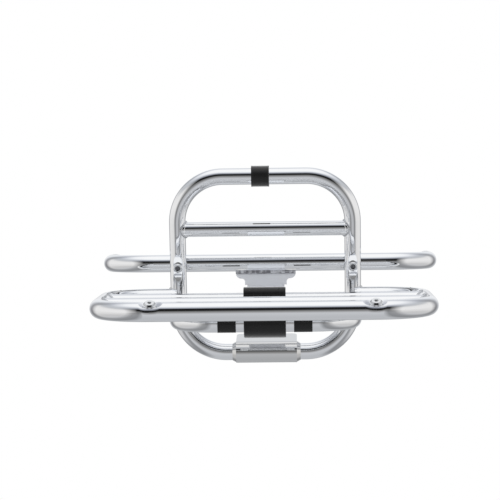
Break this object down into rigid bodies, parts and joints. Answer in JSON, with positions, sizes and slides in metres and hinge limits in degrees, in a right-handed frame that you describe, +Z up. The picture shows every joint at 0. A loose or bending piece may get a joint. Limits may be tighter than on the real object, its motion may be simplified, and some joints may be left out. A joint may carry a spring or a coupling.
{
  "type": "motorcycle luggage rack",
  "caption": "Chromed tubular luggage rack for a scooter: looped platform with cross tubes, leaning hoop, back bar, centre hook and rubber rests.",
  "frame": {"origin": "middle between the two bolt holes of the lower flange, on the flange's top face", "axes": "+X to the right of one who looks at the platform's front, +Y from the platform towards the hoop, the back bar's arms and the scooter's body, +Z up, square to the platform"},
  "size_m": [0.375, 0.2953, 0.2176],
  "materials": {
    "chrome": "polished",
    "steel": "satin",
    "rubber": "matte",
    "plastic": "matte"
  },
  "bodies": {
    "root": {"hoop": "chrome", "cross_bar": "chrome", "hoop_sleeve": "rubber", "lower_bracket": "chrome", "platform_loop": "chrome", "front_cross_tube": "chrome", "rear_cross_tube": "chrome", "support_bow": "chrome", "bow_pad_left": "rubber", "bow_pad_right": "rubber", "back_bar": "chrome", "end_plug_left": "plastic", "end_plug_right": "plastic", "hook_plate": "chrome", "hook_sleeve": "rubber", "hoop_screw_left": "steel", "hoop_screw_right": "steel", "washer_left": "steel", "washer_right": "steel", "dome_nut_left": "steel", "dome_nut_right": "steel", "platform_screw_left": "steel", "platform_screw_right": "steel", "thread_bush_left": "steel", "thread_bush_right": "steel"}
  },
  "joints": []
}
